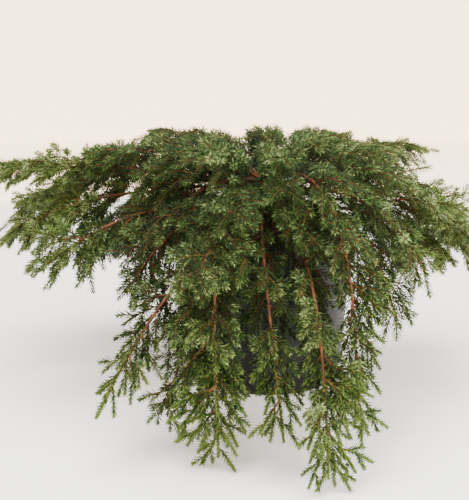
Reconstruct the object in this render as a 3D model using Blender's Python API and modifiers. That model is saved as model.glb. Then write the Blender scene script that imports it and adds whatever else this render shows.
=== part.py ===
# Creeping juniper in a black nursery pot.
# A short hidden trunk in the soil forks into arching boughs. Each bough ends in one
# mass of foliage: a stem with side twigs, all of them set with needles. The front
# boughs weep over the rim of the pot down to the surface that the pot stands on.
# Units are metres and degrees, +Z is up, and the pot stands on the plane z = 0.

import bmesh
import bpy
import random
from collections import namedtuple
from itertools import product
from math import cos, hypot, pi, radians, sin

import numpy as np
from mathutils import Matrix, Vector

PLANT_NAME = "creeping_juniper"

# Pot: a three litre grower's container
POT_HEIGHT = 0.165
RIM_RADIUS = 0.095
BASE_RADIUS = 0.078
POT_WALL = 0.0022
POT_FLOOR = 0.0030
RIM_BAND_HEIGHT = 0.014
RIM_BAND_DEPTH = 0.0030
RIM_BAND_TAPER = 0.0008
FOOT_BEVEL = 0.0020
POT_SIDES = 36
DRAIN_NOTCHES = 8
DRAIN_NOTCH_RADIUS = 0.0055
DRAIN_NOTCH_DEPTH = 0.007

# Soil and trunk
SOIL_TOP = 0.152
SOIL_HOLLOW = 0.0025
SOIL_EDGE = 0.0030
SOIL_SIDES = 20
SOIL_LUMPS = 0.0012
GAP = 0.0003
TRUNK_TOP = 0.200
TRUNK_RADIUS = 0.0090
FLARE_RADIUS = 0.0150
FLARE_HEIGHT = 0.010
TRUNK_LEAN = 0.0015

# Limbs
FORK_HEIGHTS = (0.164, 0.175, 0.186, 0.197)
FORK_REACH = 0.0028
BARE_LENGTHS = (0.036, 0.029, 0.022, 0.015)
BOUGH_RADIUS = 0.0027
BOUGH_PIECES = 2
MASS_STEM_RADIUS = 0.0021
PATH_STEPS = 48
SAG_POWER = 0.7

# Side twigs of a mass
TWIG_SPACING = 0.0205
DOME_TWIG_SPACING = 0.0110
FIRST_TWIG = 0.004
TWIG_LENGTH = 0.078
TWIG_TIP_LENGTH = 0.025
TWIG_TAPER = 0.65
TWIG_RADIUS = 0.0011
TWIG_ROOT = 0.008
TWIG_ANGLE = 46.0
TWIG_SAG = 65.0
TWIG_PIECES = 6
TWIG_TURNS = (98, -98, 68, 114, -114, -68)
TURN_SPREAD = 14.0
TWIG_SWINGS = (0, -55, 55, 160)
TWIG_SHRINKS = (1.0, 0.75, 0.55, 0.4)
SKIRT_TURNS = (158, -158, 180)
SKIRT_TWIGS = 5
SKIRT_LENGTH = 0.090
SPRAY_SEGMENT = 0.0260
STEM_SEGMENT = 0.0260
LEADER_LENGTH = 0.045
HEART_LENGTH = 0.080
CROWN_HEART = Vector((0.0, 0.0, 0.09))
CROWN_TOP = 0.254
CROWN_FALL = 0.40
CROWN_WAVE = 0.004
CROWN_LUMP = 0.009
CROWN_PHASE = 1.9

# Needles: each tooth stands for a tuft of real ones
NEEDLE_LENGTH = 0.0270
NEEDLE_ANGLE = 42.0
NEEDLE_TRIES = (1.0, 0.7, 0.45)
NEEDLE_MIDDLE = 0.6
SPACE_CLEARANCE = 0.0016
LIMB_CLEARANCE = 0.0012
POT_CLEARANCE = 0.005
TRUNK_CLEARANCE = 0.002
WELD = 0.00001
SEED = 7

# Each bough leaves the trunk at a heading (0 is +X, 90 is the back, 270 the front) and
# at one of the fork heights. It climbs at the angle rise, ends at the angle fall, and
# its heading turns by turn on the way.
Bough = namedtuple("Bough", "heading fork length rise fall turn")
BOUGHS = {
    "left": Bough(182, 1, 0.275, 27, -29, -13),
    "left_low": Bough(200, 0, 0.230, 34, -36, 3),
    "left_back": Bough(162, 2, 0.320, 25, -26, -18),
    "left_top": Bough(175, 3, 0.265, 14, -1, 1),
    "left_front": Bough(217, 3, 0.165, 42, -68, 3),
    "mid_left": Bough(228, 2, 0.205, 23, -46, 2),
    "lower_left": Bough(254, 0, 0.320, 28, -58, -34),
    "front_left": Bough(259, 1, 0.285, 26, -75, -34),
    "center": Bough(245, 3, 0.360, 38, -88, 39),
    "center_fork": Bough(262, 2, 0.318, 22, -68, 22),
    "front_right": Bough(283, 0, 0.345, 30, -70, -12),
    "right_front": Bough(294, 3, 0.345, 48, -96, -21),
    "right_side": Bough(313, 1, 0.220, 40, -68, -16),
    "right_long": Bough(321, 2, 0.215, 37, -45, -24),
    "right_low": Bough(344, 0, 0.180, 37, -41, 9),
    "right": Bough(348, 2, 0.210, 25, -38, -1),
    "right_top": Bough(9, 3, 0.215, 22, -42, 3),
    "back_right": Bough(38, 1, 0.212, 57, -14, -3),
    "back_low_right": Bough(18, 0, 0.235, 36, -50, 6),
    "back_top": Bough(62, 3, 0.200, 48, -14, 6),
    "back_low": Bough(76, 0, 0.310, 36, -82, 0),
    "back": Bough(92, 2, 0.235, 40, -34, -8),
    "back_low_left": Bough(108, 0, 0.300, 36, -80, 0),
    "back_left": Bough(132, 3, 0.212, 42, -8, -4),
    "back_side": Bough(143, 1, 0.255, 34, -52, 0),
}
# The shoots of the dome grow straight from the top of the trunk and have no bare bough.
DOME = {
    "dome_left": Bough(150, None, 0.112, 52, 10, -20),
    "dome_back": Bough(88, None, 0.085, 66, 20, 0),
    "dome_right": Bough(30, None, 0.105, 54, 10, -10),
    "dome_front": Bough(266, None, 0.190, 34, -46, 36),
    "dome_front_left": Bough(214, None, 0.135, 50, -40, -6),
    "dome_front_right": Bough(334, None, 0.130, 50, -36, -16),
}
DOME_REACH = 0.0050
SPREADS = {
    "left": 1.2, "left_low": 1.1, "left_back": 1.3, "left_top": 1.3, "right": 1.2,
    "lower_left": 0.65, "front_left": 0.8, "right_front": 0.75, "right_long": 0.8,
    "right_side": 0.8, "center_fork": 0.75, "center": 1.1,
}


def remove_everything():
    for old in list(bpy.data.objects):
        bpy.data.objects.remove(old, do_unlink=True)


def new_collection(name):
    collection = bpy.data.collections.new(name)
    bpy.context.scene.collection.children.link(collection)
    return collection


def make_material(name, colour, roughness):
    material = bpy.data.materials.new(name)
    material.use_nodes = True
    shader = material.node_tree.nodes["Principled BSDF"]
    shader.inputs["Base Color"].default_value = (*colour, 1.0)
    shader.inputs["Roughness"].default_value = roughness
    shader.inputs["Metallic"].default_value = 0.0
    return material


def add_object(name, data, collection, material):
    thing = bpy.data.objects.new(name, data)
    collection.objects.link(thing)
    data.materials.clear()
    data.materials.append(material)
    return thing


def evaluated_mesh(thing):
    """The object's mesh as its modifiers or its curve make it, in world space."""
    bpy.context.view_layer.update()
    graph = bpy.context.evaluated_depsgraph_get()
    mesh = bpy.data.meshes.new_from_object(thing.evaluated_get(graph))
    mesh.transform(thing.matrix_world)
    return mesh


def bake_object(thing, mesh, collection, material):
    """Puts a finished mesh in place of the object that it was evaluated from."""
    name = thing.name
    bpy.data.objects.remove(thing, do_unlink=True)
    return add_object(name, mesh, collection, material)


# Pot

def turned(name, profile, steps, collection, material):
    """A solid of revolution from (radius, height) pairs, top to bottom down the outside."""
    mesh = bpy.data.meshes.new(name)
    bm = bmesh.new()
    points = [bm.verts.new((radius, 0.0, height)) for radius, height in profile]
    for upper, lower in zip(points, points[1:]):
        bm.edges.new((upper, lower))
    bm.to_mesh(mesh)
    bm.free()
    thing = add_object(name, mesh, collection, material)
    screw = thing.modifiers.new("turn", "SCREW")
    screw.axis = "Z"
    screw.steps = steps
    screw.render_steps = steps
    screw.use_merge_vertices = True
    screw.merge_threshold = 0.00001
    return thing


def wall_radius(height):
    """Outer radius of the tapering pot wall at a height."""
    below_rim = RIM_RADIUS - RIM_BAND_DEPTH
    return BASE_RADIUS + (below_rim - BASE_RADIUS) * height / (POT_HEIGHT - RIM_BAND_HEIGHT)


def make_pot(parts, cutters, plastic):
    band_foot = POT_HEIGHT - RIM_BAND_HEIGHT
    outside = [
        (0.0, POT_FLOOR),
        (BASE_RADIUS - POT_WALL, POT_FLOOR),
        (wall_radius(band_foot) - POT_WALL, band_foot),
        (RIM_RADIUS - POT_WALL, POT_HEIGHT),
        (RIM_RADIUS, POT_HEIGHT),
        (RIM_RADIUS - RIM_BAND_TAPER, band_foot),
        (wall_radius(band_foot), band_foot),
        (BASE_RADIUS, 2 * FOOT_BEVEL),
        (BASE_RADIUS - FOOT_BEVEL, 0.0),
        (0.0, 0.0),
    ]
    pot = turned("pot", outside, POT_SIDES, parts, plastic)
    for number in range(DRAIN_NOTCHES):
        angle = radians(360.0 * (number + 0.5) / DRAIN_NOTCHES)
        across = Vector((cos(angle), sin(angle), 0.0))
        bm = bmesh.new()
        bmesh.ops.create_cone(
            bm, cap_ends=True, segments=8, depth=2 * DRAIN_NOTCH_DEPTH,
            radius1=DRAIN_NOTCH_RADIUS, radius2=DRAIN_NOTCH_RADIUS,
        )
        mesh = bpy.data.meshes.new(f"drain_cutter_{number}")
        bm.to_mesh(mesh)
        bm.free()
        cutter = bpy.data.objects.new(mesh.name, mesh)
        cutters.objects.link(cutter)
        cutter.rotation_euler = (0.0, pi / 2, angle)
        cutter.location = across * BASE_RADIUS
        cutter.hide_render = True
        cutter.display_type = "WIRE"
    notches = pot.modifiers.new("drain_notches", "BOOLEAN")
    notches.operation = "DIFFERENCE"
    notches.operand_type = "COLLECTION"
    notches.collection = cutters
    notches.solver = "EXACT"
    return pot


def make_soil(parts, peat):
    """Peat that fills the pot, with a slightly dished, lumpy top that is flat at the trunk."""
    foot = POT_FLOOR + GAP
    edge = SOIL_TOP - SOIL_EDGE
    inside = [
        (0.0, SOIL_TOP),
        (1.25 * FLARE_RADIUS, SOIL_TOP),
        (0.5 * RIM_RADIUS, SOIL_TOP - SOIL_HOLLOW),
        (0.75 * RIM_RADIUS, SOIL_TOP - 0.4 * SOIL_HOLLOW),
        (wall_radius(edge) - POT_WALL - 2 * GAP, edge),
        (BASE_RADIUS - POT_WALL - 2 * GAP, foot),
        (0.0, foot),
    ]
    soil = turned("potting_soil", inside, SOIL_SIDES, parts, peat)
    mesh = evaluated_mesh(soil)
    rng = random.Random(SEED)
    for vertex in mesh.vertices:
        radius = hypot(vertex.co.x, vertex.co.y)
        if vertex.co.z > edge and 2 * FLARE_RADIUS < radius < 0.8 * RIM_RADIUS:
            vertex.co.z += rng.uniform(-SOIL_LUMPS, SOIL_LUMPS)
    return bake_object(soil, mesh, parts, peat)


# Limbs

def direction(heading, elevation):
    level = cos(radians(elevation))
    return Vector((
        level * cos(radians(heading)), level * sin(radians(heading)), sin(radians(elevation)),
    ))


def bough_path(bough):
    """Points along a bough and its foliage stem, evenly spaced, from trunk to tip."""
    first = direction(bough.heading, 0.0)
    if bough.fork is None:
        clear = 2 * GAP + MASS_STEM_RADIUS * cos(radians(bough.rise))
        point = first * DOME_REACH + Vector((TRUNK_LEAN, 0.0, TRUNK_TOP + clear))
    else:
        height = FORK_HEIGHTS[bough.fork]
        lean = TRUNK_LEAN * (height - SOIL_TOP) / (TRUNK_TOP - SOIL_TOP)
        point = first * (TRUNK_RADIUS + FORK_REACH) + Vector((lean, 0.0, height))
    step = bough.length / PATH_STEPS
    points = [point]
    for number in range(PATH_STEPS):
        along = (number + 0.5) / PATH_STEPS
        elevation = bough.rise + (bough.fall - bough.rise) * along ** SAG_POWER
        heading = bough.heading + bough.turn * along
        point = point + direction(heading, elevation) * step
        points.append(point)
    return points


class Route:
    """A path with evenly spaced points that can be read at any distance along it."""

    def __init__(self, points):
        self.points = points
        self.step = (points[1] - points[0]).length
        self.length = self.step * (len(points) - 1)

    def at(self, distance):
        place = min(max(distance / self.step, 0.0), len(self.points) - 1.0)
        number = min(int(place), len(self.points) - 2)
        return self.points[number].lerp(self.points[number + 1], place - number)

    def forward(self, distance):
        number = min(max(int(distance / self.step), 0), len(self.points) - 2)
        return (self.points[number + 1] - self.points[number]).normalized()

    def part(self, start, end, pieces):
        return [self.at(start + (end - start) * k / pieces) for k in range(pieces + 1)]


def tapered_limb(name, points, radii, sides_step, collection, material):
    """A limb as a curve with a bevel, made a mesh with its round caps welded on."""
    curve = bpy.data.curves.new(name, "CURVE")
    curve.dimensions = "3D"
    curve.bevel_depth = 1.0
    curve.bevel_resolution = sides_step
    curve.use_fill_caps = True
    spline = curve.splines.new("POLY")
    spline.points.add(len(points) - 1)
    for spot, point, radius in zip(spline.points, points, radii):
        spot.co = (*point, 1.0)
        spot.radius = radius
    limb = add_object(name, curve, collection, material)
    mesh = evaluated_mesh(limb)
    bm = bmesh.new()
    bm.from_mesh(mesh)
    bmesh.ops.remove_doubles(bm, verts=bm.verts, dist=0.00001)
    bm.to_mesh(mesh)
    bm.free()
    limb = bake_object(limb, mesh, collection, material)
    bpy.data.curves.remove(curve)
    return limb


def make_trunk(parts, bark):
    foot = SOIL_TOP + GAP
    rise = TRUNK_TOP - foot
    heights = (0.0, 0.003, FLARE_HEIGHT, 0.6 * rise, rise)
    radii = (
        FLARE_RADIUS, 0.8 * FLARE_RADIUS, 1.12 * TRUNK_RADIUS, TRUNK_RADIUS,
        0.96 * TRUNK_RADIUS,
    )
    points = [
        Vector((TRUNK_LEAN * max(h - FLARE_HEIGHT, 0.0) / rise, 0.0, foot + h)) for h in heights
    ]
    return tapered_limb("trunk", points, radii, 2, parts, bark)


def make_bough(name, route, parts, bark):
    radii = [
        BOUGH_RADIUS + (MASS_STEM_RADIUS - BOUGH_RADIUS) * k / BOUGH_PIECES
        for k in range(BOUGH_PIECES + 1)
    ]
    points = route.part(0.0, route.length, BOUGH_PIECES)
    return tapered_limb(f"bough_{name}", points, radii, 1, parts, bark)


# Foliage

def stalk_template(rings, bare_from, bare_to):
    """A straight three-sided stalk of unit length, ringed at the given heights.

    Below bare_from all three flanks carry needles, and above bare_to the two flanks that
    face out of the crown do. Both halves of each such flank are poked for a needle, and so
    is the end. Returns the mesh and the numbers of the poked points.
    """
    bm = bmesh.new()
    bmesh.ops.create_cone(
        bm, cap_ends=True, segments=3, radius1=1.0, radius2=0.5, depth=1.0,
        matrix=Matrix.Translation((0.0, 0.0, 0.5)),
    )
    for height in rings:
        bmesh.ops.bisect_plane(
            bm, geom=bm.verts[:] + bm.edges[:] + bm.faces[:],
            plane_co=(0.0, 0.0, height), plane_no=(0.0, 0.0, 1.0),
        )
    bm.normal_update()
    flanks = []
    for face in bm.faces:
        low = min(vertex.co.z for vertex in face.verts)
        high = max(vertex.co.z for vertex in face.verts)
        outer = abs(face.normal.x) > 0.5 and low > bare_to - 0.001
        if high - low > 0.001 and (outer or high < bare_from + 0.001):
            flanks.append(face)
    carriers = bmesh.ops.triangulate(bm, faces=flanks, quad_method="FIXED")["faces"]
    carriers += [face for face in bm.faces if face.normal.z > 0.9]
    poked = bmesh.ops.poke(bm, faces=carriers)["verts"]
    bm.verts.index_update()
    tips = [vertex.index for vertex in poked]
    mesh = bpy.data.meshes.new("stalk_template")
    bm.to_mesh(mesh)
    bm.free()
    return mesh, tips


class Space:
    """The room that belongs to each mass: the points nearest to its own stem."""

    def __init__(self, routes, bough_routes):
        self.names = list(routes)
        samples = [self.sample(routes[name], 40) for name in self.names]
        self.points = np.concatenate(samples)
        self.owner = np.repeat(np.arange(len(samples)), [len(s) for s in samples])
        limbs = [self.sample(route, 16) for route in bough_routes.values()]
        self.limbs = np.concatenate(limbs)

    @staticmethod
    def sample(route, count):
        return np.array([route.at(route.length * k / count) for k in range(count + 1)])

    def holds(self, name, point):
        """Whether a point is in the mass's own space and clear of limbs, pot and floor."""
        if point.z < SPACE_CLEARANCE:
            return False
        out = hypot(point.x, point.y)
        if out < RIM_RADIUS + POT_CLEARANCE and point.z < POT_HEIGHT + POT_CLEARANCE:
            return False
        wave = sin(point.x / CROWN_LUMP + CROWN_PHASE) + sin(point.y / CROWN_LUMP)
        if point.z > CROWN_TOP - CROWN_FALL * out * out + CROWN_WAVE * wave:
            return False
        if out < FLARE_RADIUS and point.z < TRUNK_TOP + TRUNK_CLEARANCE:
            return False
        place = np.array(point)
        if np.linalg.norm(self.limbs - place, axis=1).min() < BOUGH_RADIUS + LIMB_CLEARANCE:
            return False
        far = np.linalg.norm(self.points - place, axis=1)
        own = self.owner == self.names.index(name)
        return far[own].min() + SPACE_CLEARANCE < far[~own].min()


def nearness(routes):
    """For each route, a function that says how near a point is to it."""
    samples = [Space.sample(route, 10) for route in routes]
    return lambda point: [np.linalg.norm(s - np.array(point), axis=1).min() for s in samples]


def bent_stalk(name, rings, bare, route, radius, keeps):
    """Bends the straight stalk along a route and draws its needles out.

    The stalk's ridge faces out of the crown, so its two rows of needles lie along the
    crown's surface. A needle whose tip keeps(point) refuses is left out.
    """
    template, tips = stalk_template(rings, *bare)
    rng = random.Random(f"{SEED} {name}")
    bm = bmesh.new()
    bm.from_mesh(template)
    bpy.data.meshes.remove(template)
    bm.verts.ensure_lookup_table()
    dropped = []
    for vertex in bm.verts:
        x, y, z = vertex.co
        distance = z * route.length
        middle = route.at(distance)
        forward = route.forward(distance)
        across = (middle - CROWN_HEART).cross(forward).normalized()
        above = forward.cross(across)
        offset = (across * x + above * y) * radius
        place = middle + offset
        if vertex.index in tips:
            lean = radians(NEEDLE_ANGLE)
            outward = forward if z > 0.999 else offset.normalized()
            reach = NEEDLE_LENGTH * rng.uniform(0.8, 1.15) * (1.0 - 0.35 * z)
            root = place
            needle = (outward * sin(lean) + forward * cos(lean)).normalized() * reach
            for shrink in NEEDLE_TRIES:
                place = root + needle * shrink
                if keeps(place) and keeps(root.lerp(place, NEEDLE_MIDDLE)):
                    break
            else:
                dropped.append(vertex)
        vertex.co = place
    bmesh.ops.dissolve_verts(bm, verts=dropped)
    mesh = bpy.data.meshes.new(name)
    bm.to_mesh(mesh)
    bm.free()
    return mesh


def twig_route(stem, distance, length, around):
    """The drooping path of a side twig that leaves the stem at a distance along it."""
    forward = stem.forward(distance)
    side = forward.cross(stem.at(distance) - CROWN_HEART).normalized()
    outward = side.cross(forward)
    aside = side * sin(radians(around)) + outward * cos(radians(around))
    heading = forward * cos(radians(TWIG_ANGLE)) + aside * sin(radians(TWIG_ANGLE))
    point = stem.at(distance)
    points = [point]
    down = Vector((0.0, 0.0, -sin(radians(TWIG_SAG)) * hypot(forward.x, forward.y)))
    for number in range(TWIG_PIECES):
        bend = down * (number + 0.5) / TWIG_PIECES
        point = point + (heading + bend).normalized() * (length / TWIG_PIECES)
        points.append(point)
    return Route(points)


def mass_twigs(name, stem, space):
    """Places the side twigs of one mass by its seeded rule, as routes.

    Most twigs lie along the crown's surface. Every second one of the first few on a
    bough's stem hangs down inside the crown. A twig that would leave the mass's space
    tries other directions round the stem, and then a shorter length. Where none fits, it
    is skipped.
    """
    rng = random.Random(f"{SEED} {name}")
    spacing = DOME_TWIG_SPACING if name in DOME else TWIG_SPACING
    routes = []
    distance = FIRST_TWIG
    number = rng.randrange(2)
    while distance < stem.length - TWIG_TIP_LENGTH:
        along = distance / stem.length
        length = TWIG_TIP_LENGTH + (TWIG_LENGTH - TWIG_TIP_LENGTH) * (1.0 - along) ** TWIG_TAPER
        length *= rng.uniform(0.85, 1.1) * SPREADS.get(name, 1.0)
        turns = TWIG_TURNS
        if name in BOUGHS and number % 2 and len(routes) < SKIRT_TWIGS and distance < SKIRT_LENGTH:
            turns = SKIRT_TURNS
        around = turns[number % len(turns)] + rng.uniform(-TURN_SPREAD, TURN_SPREAD)
        for shrink, swing in product(TWIG_SHRINKS, TWIG_SWINGS):
            route = twig_route(stem, distance, length * shrink, around + swing)
            if all(space.holds(name, point) for point in route.points[1:]):
                routes.append(route)
                break
        number += 1
        distance += spacing * rng.uniform(0.85, 1.15)
    return routes


def is_sound(mesh):
    """Welds points that nearly coincide, and says whether the mesh encloses a body.

    Each edge must have exactly two faces, and the faces must look outwards.
    """
    bm = bmesh.new()
    bm.from_mesh(mesh)
    bmesh.ops.remove_doubles(bm, verts=bm.verts, dist=WELD)
    closed = all(len(edge.link_faces) == 2 for edge in bm.edges)
    sound = closed and bm.calc_volume(signed=True) > 0.0
    bm.to_mesh(mesh)
    bm.free()
    return sound


def largest_body(mesh):
    """Keeps the mesh's largest body, which drops loose scraps and fills sealed hollows."""
    bm = bmesh.new()
    bm.from_mesh(mesh)
    left = set(bm.faces)
    bodies = []
    while left:
        front = [left.pop()]
        body = list(front)
        while front:
            face = front.pop()
            for edge in face.edges:
                for other in edge.link_faces:
                    if other in left:
                        left.remove(other)
                        body.append(other)
                        front.append(other)
        bodies.append(body)
    bodies.sort(key=len)
    for body in bodies[:-1]:
        bmesh.ops.delete(bm, geom=body, context="FACES")
    bm.to_mesh(mesh)
    bm.free()


def fused(stem, sprays):
    """The union of a stem with its collection of sprays, as a mesh."""
    union = stem.modifiers.new("fuse", "BOOLEAN")
    union.operation = "UNION"
    union.operand_type = "COLLECTION"
    union.collection = sprays
    union.solver = "EXACT"
    mesh = evaluated_mesh(stem)
    if not is_sound(mesh):
        bpy.data.meshes.remove(mesh)
        union.solver = "MANIFOLD"
        mesh = evaluated_mesh(stem)
    largest_body(mesh)
    return mesh


def make_mass(name, stem, space, parts, green):
    """One node of foliage: stem and needled twigs joined by one union."""
    routes = [stem] + mass_twigs(name, stem, space)
    near = nearness(routes)
    sprays = new_collection(f"sprays_{name}")
    for number, route in enumerate(routes):

        def keeps(point, number=number):
            if not space.holds(name, point):
                return False
            distances = near(point)
            return distances[number] < min(distances[:number] + distances[number + 1:])

        if route is stem:
            segments = round(stem.length / STEM_SEGMENT)
            rings = [k / segments for k in range(1, segments)]
            bare = (HEART_LENGTH / stem.length, 1.0 - LEADER_LENGTH / stem.length)
            mesh = bent_stalk(f"foliage_{name}", rings, bare, stem, MASS_STEM_RADIUS, keeps)
            mass = add_object(mesh.name, mesh, parts, green)
        else:
            segments = max(1, round((route.length - TWIG_ROOT) / SPRAY_SEGMENT))
            root = TWIG_ROOT / route.length
            rings = [root + (1.0 - root) * k / segments for k in range(segments)]
            mesh = bent_stalk(
                f"spray_{name}_{number}", rings, (0.0, root), route, TWIG_RADIUS, keeps,
            )
            sprays.objects.link(bpy.data.objects.new(mesh.name, mesh))
    mass = bake_object(mass, fused(mass, sprays), parts, green)
    for spray in list(sprays.objects):
        bpy.data.objects.remove(spray, do_unlink=True)
    bpy.data.collections.remove(sprays)
    return mass


def build():
    remove_everything()
    parts = new_collection(PLANT_NAME)
    cutters = new_collection("cutters")
    plastic = make_material("black_plastic", (0.012, 0.011, 0.013), 0.42)
    peat = make_material("peat", (0.035, 0.022, 0.015), 0.95)
    bark = make_material("bark", (0.19, 0.075, 0.035), 0.80)
    green = make_material("juniper_green", (0.065, 0.125, 0.030), 0.55)

    make_pot(parts, cutters, plastic)
    make_soil(parts, peat)
    make_trunk(parts, bark)

    stems = {}
    bare = {}
    for name, bough in BOUGHS.items():
        whole = Route(bough_path(bough))
        bare_length = BARE_LENGTHS[bough.fork]
        bare[name] = Route(whole.part(0.0, bare_length, 12))
        start = bare_length + 1.5 * GAP
        stems[name] = Route(whole.part(start, whole.length, 40))
    for name, bough in DOME.items():
        stems[name] = Route(bough_path(bough))
    space = Space(stems, bare)
    for name, route in bare.items():
        make_bough(name, route, parts, bark)
    for name, stem in stems.items():
        make_mass(name, stem, space, parts, green)


build()
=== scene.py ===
import random
from collections import namedtuple
from itertools import product
from math import cos, hypot, pi, radians, sin

import bpy
import numpy as np
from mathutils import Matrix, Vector, noise


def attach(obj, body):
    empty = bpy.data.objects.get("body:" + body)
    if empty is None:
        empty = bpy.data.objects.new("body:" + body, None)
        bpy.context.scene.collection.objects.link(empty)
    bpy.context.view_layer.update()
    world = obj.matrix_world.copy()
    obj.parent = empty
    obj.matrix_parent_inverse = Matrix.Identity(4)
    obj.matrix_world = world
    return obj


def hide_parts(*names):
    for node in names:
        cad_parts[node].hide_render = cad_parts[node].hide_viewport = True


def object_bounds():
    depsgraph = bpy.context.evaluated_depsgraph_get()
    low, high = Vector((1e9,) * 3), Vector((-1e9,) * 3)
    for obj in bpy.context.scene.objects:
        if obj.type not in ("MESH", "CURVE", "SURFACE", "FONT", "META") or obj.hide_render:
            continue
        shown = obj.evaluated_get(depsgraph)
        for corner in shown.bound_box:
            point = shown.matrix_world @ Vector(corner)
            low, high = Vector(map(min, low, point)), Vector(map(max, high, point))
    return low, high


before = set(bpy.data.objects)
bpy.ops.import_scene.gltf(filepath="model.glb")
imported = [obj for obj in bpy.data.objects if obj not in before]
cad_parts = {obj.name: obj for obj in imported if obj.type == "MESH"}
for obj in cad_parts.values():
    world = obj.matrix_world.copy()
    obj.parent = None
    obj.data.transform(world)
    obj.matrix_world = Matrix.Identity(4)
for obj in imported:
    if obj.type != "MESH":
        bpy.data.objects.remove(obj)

cad_low, cad_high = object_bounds()
bpy.ops.object.select_all(action="DESELECT")


# Studio
# The plant is seen a little from above, on a pale grey floor that fades into a cream wall,
# in soft light from the upper left, from the right and from above.

ROOM_RADIUS = 2.6
ROOM_HEIGHT = 0.9
ROOM_SIDES = 128
FLOOR_RADIUS = 1.12
FLOOR_FADE = 0.16
FLOOR_COLOUR = (0.80, 0.79, 0.775)
WALL_COLOUR = (1.0, 0.85, 0.66)
AIR_COLOUR = (0.98, 0.97, 0.95)
AIR_STRENGTH = 1.62
CAMERA_PLACE = (-0.033, -0.922, 0.336)
CAMERA_TILT = 12.5
CAMERA_LENS = 64.8
CAMERA_SENSOR = 36.0

camera_data = bpy.data.cameras.new("portrait_camera")
camera_data.lens = CAMERA_LENS
camera_data.sensor_width = CAMERA_SENSOR
camera = bpy.data.objects.new("portrait_camera", camera_data)
bpy.context.scene.collection.objects.link(camera)
camera.location = CAMERA_PLACE
camera.rotation_euler = (radians(90.0 - CAMERA_TILT), 0.0, 0.0)
bpy.context.scene.camera = camera


def plain_finish(name, colour, roughness, shine=0.5):
    """A Principled material with its plain colour, roughness and node tree."""
    material = bpy.data.materials.new(name)
    material.use_nodes = True
    shader = material.node_tree.nodes["Principled BSDF"]
    shader.inputs["Base Color"].default_value = (*colour, 1.0)
    shader.inputs["Roughness"].default_value = roughness
    shader.inputs["Specular IOR Level"].default_value = shine
    return material, material.node_tree, shader


room_finish, room_tree, room_shader = plain_finish("pale_room", FLOOR_COLOUR, 0.8)
room_place = room_tree.nodes.new("ShaderNodeTexCoord")
from_middle = room_tree.nodes.new("ShaderNodeVectorMath")
from_middle.operation = "LENGTH"
floor_edge = room_tree.nodes.new("ShaderNodeMapRange")
floor_edge.inputs["From Min"].default_value = FLOOR_RADIUS
floor_edge.inputs["From Max"].default_value = FLOOR_RADIUS + FLOOR_FADE
floor_to_wall = room_tree.nodes.new("ShaderNodeMix")
floor_to_wall.data_type = "RGBA"
floor_to_wall.inputs["A"].default_value = (*FLOOR_COLOUR, 1.0)
floor_to_wall.inputs["B"].default_value = (*WALL_COLOUR, 1.0)
room_shader.inputs["Emission Color"].default_value = (*WALL_COLOUR, 1.0)
room_tree.links.new(room_place.outputs["Object"], from_middle.inputs[0])
room_tree.links.new(from_middle.outputs["Value"], floor_edge.inputs["Value"])
room_tree.links.new(floor_edge.outputs["Result"], floor_to_wall.inputs["Factor"])
room_tree.links.new(floor_edge.outputs["Result"], room_shader.inputs["Emission Strength"])
room_tree.links.new(floor_to_wall.outputs["Result"], room_shader.inputs["Base Color"])

bpy.ops.mesh.primitive_circle_add(vertices=ROOM_SIDES, radius=ROOM_RADIUS, fill_type="NGON")
room = bpy.context.object
room.name = "studio_room"
bpy.ops.object.mode_set(mode="EDIT")
bpy.ops.mesh.select_mode(type="EDGE")
bpy.ops.mesh.select_all(action="SELECT")
bpy.ops.mesh.extrude_edges_move(TRANSFORM_OT_translate={"value": (0.0, 0.0, ROOM_HEIGHT)})
bpy.ops.object.mode_set(mode="OBJECT")
room.data.materials.append(room_finish)


def soft_light(name, place, target, size, power):
    """A round soft lamp at a place, turned towards a target."""
    lamp = bpy.data.lights.new(name, "AREA")
    lamp.shape = "DISK"
    lamp.size = size
    lamp.energy = power
    thing = bpy.data.objects.new(name, lamp)
    bpy.context.scene.collection.objects.link(thing)
    thing.location = place
    thing.rotation_euler = (Vector(target) - Vector(place)).to_track_quat("-Z", "Y").to_euler()


soft_light("key_light", (-0.9, -0.9, 2.1), (0.0, 0.0, 0.1), 1.8, 90.0)
soft_light("fill_light", (1.6, -1.3, 0.8), (0.0, -0.1, 0.1), 1.4, 95.0)
soft_light("top_light", (0.1, 0.1, 2.2), (0.0, 0.0, 0.1), 1.4, 70.0)

air = bpy.data.worlds.new("studio_air")
air.use_nodes = True
air.node_tree.nodes["Background"].inputs["Color"].default_value = (*AIR_COLOUR, 1.0)
air.node_tree.nodes["Background"].inputs["Strength"].default_value = AIR_STRENGTH
bpy.context.scene.world = air


# Pot
# A grower's container, pressed from one sheet of black plastic: tapered wall, a turned
# band round the rim, and drain notches at the foot. It stands flat on its base.

POT_HEIGHT = 0.165
RIM_RADIUS = 0.095
BASE_RADIUS = 0.078
POT_WALL = 0.0022
POT_FLOOR = 0.0030
RIM_BAND_HEIGHT = 0.014
RIM_BAND_DEPTH = 0.0030
FOOT_BEVEL = 0.0020
BAND_TAPER = 0.004
POT_SIDES = 128
WALL_STEPS = 6
DRAIN_NOTCHES = 8
DRAIN_NOTCH_RADIUS = 0.0055
DRAIN_NOTCH_DEPTH = 0.007
DRAIN_NOTCH_SIDES = 24
LIP = 0.0008
BAND_FOOT = POT_HEIGHT - RIM_BAND_HEIGHT
MOTTLE_EDGES = (0.35, 0.65)
GRAIN_DETAIL = 8.0


def wall_radius(height):
    """Outer radius of the tapering pot wall at a height."""
    return BASE_RADIUS + (RIM_RADIUS - RIM_BAND_DEPTH - BASE_RADIUS) * height / BAND_FOOT


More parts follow.
